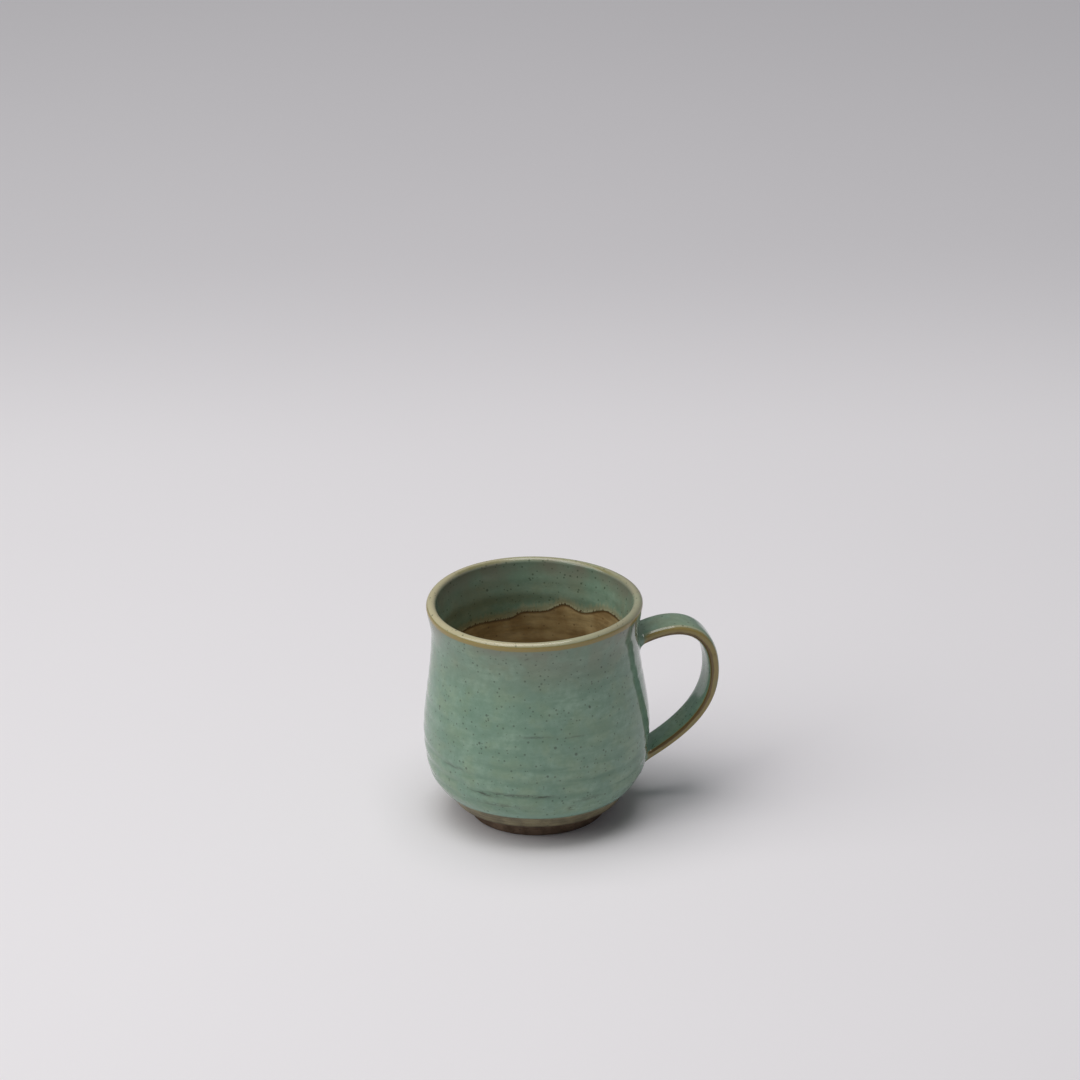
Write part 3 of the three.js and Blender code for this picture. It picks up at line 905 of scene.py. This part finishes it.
class StrapForm:
    """The pulled strap: a curve in the plane of the handle, and a soft section along it."""

    SAMPLES = 900
    SIDES = 96
    ROOT_STEPS = 14
    MIDDLE_STEPS = 150
    # The directions the strap leaves the wall in, and how far each end of its two curves pulls.
    UPPER_ANGLE, LOWER_ANGLE = radians(25), radians(27)
    UPPER_ROOT_PULL, UPPER_BEND_PULL = 19.5 * MM, 19.5 * MM
    LOWER_BEND_PULL, LOWER_ROOT_PULL = 17.0 * MM, 19.8 * MM
    ROOT_DEPTH = 2.2 * MM
    # Exponents of the section: below 1 is squarer than an ellipse.
    EDGE_ROUNDNESS, FACE_ROUNDNESS = 0.52, 0.68
    UPPER_FILLET, LOWER_FILLET = 2.6 * MM, 3.4 * MM

    def __init__(self, scene, form):
        self.form = form
        self.handle = handle = scene.mug_handle
        self.curve = self.middle_line()
        along = np.gradient(self.curve, axis=0)
        along /= np.linalg.norm(along, axis=1, keepdims=True)
        self.up = np.stack([-along[:, 1], along[:, 0]], axis=1)
        step = np.linalg.norm(np.diff(self.curve, axis=0), axis=1)
        self.length = np.concatenate([[0], np.cumsum(step)])
        # Thicker over the top, thinner towards the lower root, as a pulled strap is.
        share = self.length / self.length[-1]
        self.half_width = handle.width / 2 * (1 - 0.05 * smoothstep(0.45, 0.95, share))
        self.half_thickness = handle.thickness / 2 * (1 - 0.14 * smoothstep(0.35, 0.9, share))

    def middle_line(self):
        """The strap's middle, as radius and height: two cubic curves that meet at the reach."""
        handle = self.handle

        def root(height, angle):
            """Where the middle starts inside the wall, and the way it leaves."""
            away = np.array([cos(angle), sin(angle)])
            at_wall = np.array([float(self.form.plain_outside(np.array(height))), height])
            return at_wall - away * self.ROOT_DEPTH, away

        top, top_away = root(handle.upper_height, self.UPPER_ANGLE)
        low, low_away = root(handle.lower_height, self.LOWER_ANGLE)
        bend = np.array([handle.reach - handle.thickness / 2, handle.reach_height])
        upper = (top, top + top_away * self.UPPER_ROOT_PULL, bend + [0, self.UPPER_BEND_PULL], bend)
        lower = (bend, bend - [0, self.LOWER_BEND_PULL], low + low_away * self.LOWER_ROOT_PULL, low)
        t = np.linspace(0, 1, self.SAMPLES // 2)[:, None]
        halves = [
            (1 - t) ** 3 * a + 3 * (1 - t) ** 2 * t * b + 3 * (1 - t) * t * t * c + t ** 3 * d
            for a, b, c, d in (upper, lower)
        ]
        return np.concatenate([halves[0], halves[1][1:]])

    def section(self):
        """Across and through for each side, as shares of the half sizes, evenly spaced, and the
        way that each side faces."""
        turn = np.linspace(0, tau, 4001)
        across = np.sign(np.cos(turn)) * np.abs(np.cos(turn)) ** self.EDGE_ROUNDNESS
        through = np.sign(np.sin(turn)) * np.abs(np.sin(turn)) ** self.FACE_ROUNDNESS
        wide, thick = self.handle.width / 2, self.handle.thickness / 2
        step = np.hypot(np.diff(across) * wide, np.diff(through) * thick)
        length = np.concatenate([[0], np.cumsum(step)])
        even = (np.arange(self.SIDES) + 0.5) / self.SIDES * length[-1]
        across, through = np.interp(even, length, across), np.interp(even, length, through)
        sideways = (np.roll(across, -1) - np.roll(across, 1)) * wide
        upward = (np.roll(through, -1) - np.roll(through, 1)) * thick
        size = np.hypot(sideways, upward)
        return across, through, upward / size, -sideways / size

    def fibre(self, across, through, shrink):
        """The line along the strap that one side of its section follows."""
        offset = (self.half_thickness - shrink) * through
        flat = self.curve + self.up * offset[:, None]
        side = (self.half_width - shrink) * across
        return np.stack([flat[:, 0], side, flat[:, 1]], axis=1)

    def wall_slope(self, height):
        """How fast the cup widens with height."""
        step = 0.5 * MM
        wider = self.form.plain_outside(height + step) - self.form.plain_outside(height - step)
        return wider / (2 * step)

    def tilt(self, height):
        """Share of a level distance from the wall that lies square to it."""
        return 1 / np.sqrt(1 + self.wall_slope(height) ** 2)

    def wall_facing(self, points):
        """The way that the wall faces beside each point."""
        angle = np.arctan2(points[..., 1], points[..., 0])
        slope = self.wall_slope(points[..., 2])
        facing = np.stack([np.cos(angle), np.sin(angle), -slope], axis=-1)
        return facing / np.linalg.norm(facing, axis=-1, keepdims=True)

    def off_wall(self, points):
        """Distance from the glazed wall, square to it."""
        angle = np.arctan2(points[..., 1], points[..., 0])
        height = points[..., 2]
        radius = np.hypot(points[..., 0], points[..., 1])
        return (radius - self.form.outside(angle, height)) * self.tilt(height)

    def row_places(self, line, swings):
        """How far along the strap each row crosses a fibre: close together in the fillets, and
        evenly between them."""
        off = self.off_wall(line)
        half = len(line) // 2
        roots = (
            (off[:half], self.length[:half], self.UPPER_FILLET),
            (off[::-1][:half], self.length[::-1][:half], self.LOWER_FILLET),
        )
        near = []
        for part, place, size in roots:
            first = int(np.argmax(part > -0.8 * MM))
            top = int(np.argmax(part > size * 1.6))
            wanted = size * (1 - np.cos(swings))
            near.append(np.interp(wanted, part[first:top + 1], place[first:top + 1]))
        start, stop = near[0][-1], near[1][-1]
        middle = start + (stop - start) * np.arange(1, self.MIDDLE_STEPS) / self.MIDDLE_STEPS
        return np.concatenate([near[0], middle, near[1][::-1]])

    def spread(self, here, outward, size, swings):
        """Moves points near a root out along the wall, so that they run into it in a fillet."""
        facing = self.wall_facing(here)
        outward = outward - np.sum(outward * facing, axis=1, keepdims=True) * facing
        outward /= np.maximum(np.linalg.norm(outward, axis=1, keepdims=True), 1e-9)
        moved = here + outward * (size * (1 - np.sin(swings)))[:, None]
        angle = np.arctan2(moved[:, 1], moved[:, 0])
        lift = size * (1 - np.cos(swings)) - 0.02 * MM
        wanted = self.form.outside(angle, moved[:, 2]) + lift / self.tilt(moved[:, 2])
        now = np.hypot(moved[:, 0], moved[:, 1])
        radius = now + (wanted - now) * np.clip(3 * (1 - np.sin(swings)) ** 0.5, 0, 1)
        return np.stack([radius * np.cos(angle), radius * np.sin(angle), moved[:, 2]], axis=1)

    def rows(self, shrink=0.0):
        """Rows of points along the strap, spreading into the wall at both roots. A shrunken
        strap, which is the clay under the coat, runs straight in."""
        across, through, face_across, face_through = self.section()
        count = self.ROOT_STEPS * 2 + self.MIDDLE_STEPS + 1
        steps = np.arange(self.ROOT_STEPS + 1)
        swings = pi / 2 * steps / self.ROOT_STEPS
        roots = ((steps, self.UPPER_FILLET), (count - 1 - steps, self.LOWER_FILLET))
        points = np.zeros((count, self.SIDES, 3))
        for j in range(self.SIDES):
            line = self.fibre(across[j], through[j], shrink)
            places = self.row_places(line, swings)
            for axis in range(3):
                points[:, j, axis] = np.interp(places, self.length, line[:, axis])
            if shrink:
                continue
            for rows, size in roots:
                k = np.interp(places[rows], self.length, np.arange(len(self.length))).astype(int)
                sideways = np.full(len(k), face_across[j])
                out, up = self.up[k, 0] * face_through[j], self.up[k, 1] * face_through[j]
                outward = np.stack([out, sideways, up], axis=1)
                points[rows, j] = self.spread(points[rows, j], outward, size, swings)
        points[..., 0] += AXIS_X
        return points

    def marks(self, count):
        """How thin the glaze lies: it breaks to ochre all along both edges of the strap, with a painted
        highlight in cream on their upper crests, painted shade in brown where they turn under, and iron
        fumes at the upper root."""
        across, through = self.section()[:2]
        share = np.arange(count)[:, None] / (count - 1)
        edge = smoothstep(0.85, 0.97, np.abs(across))
        # Painted shade: pushes the break to brown on the side where the edges turn under.
        under = 1.3 * bell(through + 0.55, 0.28)
        # Painted highlight in cream along the upper crests of the edges.
        crest_highlight = bell(np.abs(across) - 0.86, 0.06) * smoothstep(0.0, 0.3, through)
        wave = 0.10 * np.sin(share * 31.0 + 1.0) + 0.08 * np.sin(share * 67.0)
        off_roots = smoothstep(0.05, 0.10, share) * smoothstep(0.02, 0.07, 1 - share)
        fumes = bell(share - 0.12, 0.07) * smoothstep(-0.2, 0.6, through)
        return {
            "thin_and_shade": edge * (0.95 + under + wave) * off_roots,
            "iron": 0.14 * fumes,
            "cream_and_highlight": crest_highlight * (0.7 + 2.0 * wave) * off_roots,
            "above": np.full((count, self.SIDES), 20.0),
            "pool": np.full((count, self.SIDES), 0.1),
        }


# ------------------------------------------------------------------ operators


# Name, metres right of, behind and above the cup as the camera sees it, size, watts and colour.
SOFTBOXES = (
    ("key_softbox", -1.46, -0.66, 1.50, 1.8, 22.5, "#fffcf8"),
    ("top_softbox", -0.15, -0.02, 1.65, 1.2, 16.0, "#fffafa"),
)


class MUG_OT_stage(bpy.types.Operator):
    """Lays the paper floor and sets the camera and the studio lights"""

    bl_idname = "mug.stage"
    bl_label = "Studio"

    def execute(self, context):
        scene = context.scene
        studio = scene.mug_studio
        turn = studio.bearing

        def from_view(right, back, up):
            """A place given as the camera sees it from square in front of the cup's axis."""
            x = AXIS_X + right * cos(turn) + back * sin(turn)
            return Vector((x, back * cos(turn) - right * sin(turn), up))

        half, steps = 3.5, 24
        xs = np.linspace(-half, half, steps + 1)
        points = [(x, y, 0.0) for y in xs for x in xs]
        corners = [i * (steps + 1) + j for i in range(steps) for j in range(steps)]
        faces = [(k, k + 1, k + steps + 2, k + steps + 1) for k in corners]
        mesh = bpy.data.meshes.new("paper_floor")
        mesh.from_pydata(points, [], faces)
        mesh.shade_smooth()
        mesh.materials.append(rolled_paper(scene))
        floor = bpy.data.objects.new("paper_floor", mesh)
        scene.collection.objects.link(floor)

        camera_data = bpy.data.cameras.new("studio_camera")
        camera_data.lens = studio.lens
        camera_data.sensor_width = 36.0
        camera_data.clip_start = 0.05
        camera_data.clip_end = 50.0
        camera = bpy.data.objects.new("studio_camera", camera_data)
        scene.collection.objects.link(camera)
        aim = from_view(studio.aim_right, 0, studio.aim_height)
        reach = studio.distance * cos(studio.elevation)
        camera.location = from_view(
            studio.aim_right, -reach, studio.aim_height + studio.distance * sin(studio.elevation))
        camera.rotation_mode = "QUATERNION"
        level = (aim - camera.location).to_track_quat("-Z", "Y")
        camera.rotation_quaternion = level @ Quaternion((0, 0, 1), studio.roll)
        scene.camera = camera

        for name, right, back, up, size, watts, colour in SOFTBOXES:
            data = bpy.data.lights.new(name, "AREA")
            data.shape = "SQUARE"
            data.size = size
            data.energy = watts
            data.color = linear(colour)[:3]
            light = bpy.data.objects.new(name, data)
            light.location = from_view(right, back, up)
            light.rotation_mode = "QUATERNION"
            target = from_view(0, 0, BELLY_MIDDLE)
            light.rotation_quaternion = (target - light.location).to_track_quat("-Z", "Y")
            scene.collection.objects.link(light)

        world = bpy.data.worlds.new("studio_air")
        world.use_nodes = True
        world.node_tree.nodes.clear()
        air = add(world.node_tree, "Background", {"Color": linear("#e6e8ee"), "Strength": 0.18})
        add(world.node_tree, "OutputWorld", {"Surface": air})
        scene.world = world
        scene.view_settings.view_transform = "Standard"
        return {"FINISHED"}


class MUG_OT_foot(bpy.types.Operator):
    """Turns the foot ring in bare, iron-rich stoneware"""

    bl_idname = "mug.foot"
    bl_label = "Foot ring"

    def execute(self, context):
        scene = context.scene
        form = CupForm(scene)
        rows = foot_ring_rows(form)
        height = rows[..., 2] / MM
        # Painted shade along the foot where it meets the floor.
        marks = {"underside_shade": 0.75 * np.exp(-height / 1.3)}
        piece = piece_from_rows("foot_ring_turned", rows, closed=True, marks=marks)
        clay = tuple(scene.mug_glaze.clay)
        material = bare_stoneware("iron_stoneware_turned", clay, linear("#5e4c38"), 0.62)
        finish_piece(piece, material, "bare_clay", "foot_ring")
        return {"FINISHED"}


class MUG_OT_clay_cup(bpy.types.Operator):
    """Throws the clay cup, bare on its lower band and underside"""

    bl_idname = "mug.clay_cup"
    bl_label = "Clay cup"

    def execute(self, context):
        scene = context.scene
        form = CupForm(scene)
        rows = clay_cup_rows(form)
        height = rows[..., 2] / MM
        ledge = scene.mug_cup.ledge_height / MM
        # Painted shade on the underside, below the ledge.
        marks = {"underside_shade": 0.9 * (1 - smoothstep(ledge - 0.3, ledge + 0.5, height))}
        low = (AXIS_X, 0, scene.mug_foot.recess)
        high = (AXIS_X, 0, scene.mug_cup.floor_height - scene.mug_glaze.thickness - 0.02 * MM)
        piece = piece_from_rows("clay_cup_thrown", rows, low_pole=low, high_pole=high, marks=marks)
        washed, shade = linear("#8f8566"), linear("#6d644c")
        material = bare_stoneware("washed_stoneware_thrown", washed, shade, 0.36)
        finish_piece(piece, material, "stoneware", "cup_body")
        return {"FINISHED"}


class MUG_OT_glaze_coats(bpy.types.Operator):
    """Pours the green coat outside, the green band inside the lip and the brown lining"""

    bl_idname = "mug.glaze_coats"
    bl_label = "Glaze coats"

    def execute(self, context):
        scene = context.scene
        surface = GlazedSurface(CupForm(scene))
        green = celadon_glaze(scene)
        brown = brown_liner_glaze(scene)
        outer = surface.coat("outer_glaze_coat", 0, surface.outer_end)
        finish_piece(outer, green, "green_glaze", "outer_glaze")
        inner = surface.coat("inner_rim_glaze_coat", surface.outer_end, surface.liner_start)
        finish_piece(inner, green, "green_glaze", "inner_rim_glaze")
        middle = (AXIS_X, 0, scene.mug_cup.floor_height)
        last = len(surface.rows) - 1
        liner = surface.coat("liner_glaze_coat", surface.liner_start, last, axis_end=middle)
        finish_piece(liner, brown, "brown_glaze", "liner_glaze")
        return {"FINISHED"}


class MUG_OT_handle(bpy.types.Operator):
    """Pulls the strap handle, joins it on with slip and glazes it"""

    bl_idname = "mug.handle"
    bl_label = "Handle"

    def execute(self, context):
        scene = context.scene
        strap = StrapForm(scene, CupForm(scene))
        thickness = scene.mug_glaze.thickness
        face = strap.rows()
        normals = row_normals(face)
        if np.sum(normals * (face - face.mean(axis=1, keepdims=True))) < 0:
            normals = -normals
        marks = strap.marks(len(face))
        green = bpy.data.materials["celadon_glaze_poured"]
        root = strap.ROOT_STEPS
        last = len(face) - 1
        stretches = (
            ("upper_joint_glazed", 0, root, "upper_handle_joint"),
            ("handle_glaze_coat", root, last - root, "handle_glaze"),
            ("lower_joint_glazed", last - root, last, "lower_handle_joint"),
        )
        for name, first, final, node in stretches:
            rows = slice(first, final + 1)
            cut = {key: value[rows] for key, value in marks.items()}
            piece = coat_from_rows(name, face[rows], normals[rows], thickness, cut)
            finish_piece(piece, green, "green_glaze", node)
        core = strap.rows(shrink=thickness + 0.02 * MM)
        low, high = core[0].mean(axis=0), core[-1].mean(axis=0)
        clay = piece_from_rows(
            "handle_clay_strap", core, low_pole=low, high_pole=high,
            marks={"underside_shade": np.zeros(core.shape[:2])})
        finish_piece(clay, bpy.data.materials["washed_stoneware_thrown"], "stoneware", "handle")
        return {"FINISHED"}


class MUG_PT_panel(bpy.types.Panel):
    """Lists the mug's settings and its pieces"""

    bl_label = "Stoneware mug"
    bl_idname = "MUG_PT_panel"
    bl_space_type = "VIEW_3D"
    bl_region_type = "UI"
    bl_category = "Mug"

    def draw(self, context):
        layout = self.layout
        for kind in OPERATORS:
            layout.operator(kind.bl_idname)
        for name in SETTINGS:
            group = getattr(context.scene, name)
            box = layout.box()
            for key in group.bl_rna.properties.keys():
                if key not in ("rna_type", "name"):
                    box.prop(group, key)


OPERATORS = (MUG_OT_stage, MUG_OT_foot, MUG_OT_clay_cup, MUG_OT_glaze_coats, MUG_OT_handle)
SETTINGS = {
    "mug_cup": CupSettings,
    "mug_foot": FootSettings,
    "mug_handle": HandleSettings,
    "mug_glaze": GlazeSettings,
    "mug_studio": StudioSettings,
}


def register():
    """Registers the settings, the operators and the panel."""
    for name, group in SETTINGS.items():
        bpy.utils.register_class(group)
        setattr(bpy.types.Scene, name, bpy.props.PointerProperty(type=group))
    for kind in (*OPERATORS, MUG_PT_panel):
        bpy.utils.register_class(kind)


def unregister():
    """Takes them all away again."""
    for kind in (MUG_PT_panel, *reversed(OPERATORS)):
        bpy.utils.unregister_class(kind)
    for name, group in SETTINGS.items():
        delattr(bpy.types.Scene, name)
        bpy.utils.unregister_class(group)


def main():
    """Builds everything in order."""
    register()
    bpy.ops.mug.stage()
    bpy.ops.mug.foot()
    bpy.ops.mug.clay_cup()
    bpy.ops.mug.glaze_coats()
    bpy.ops.mug.handle()


if __name__ == "__main__":
    main()
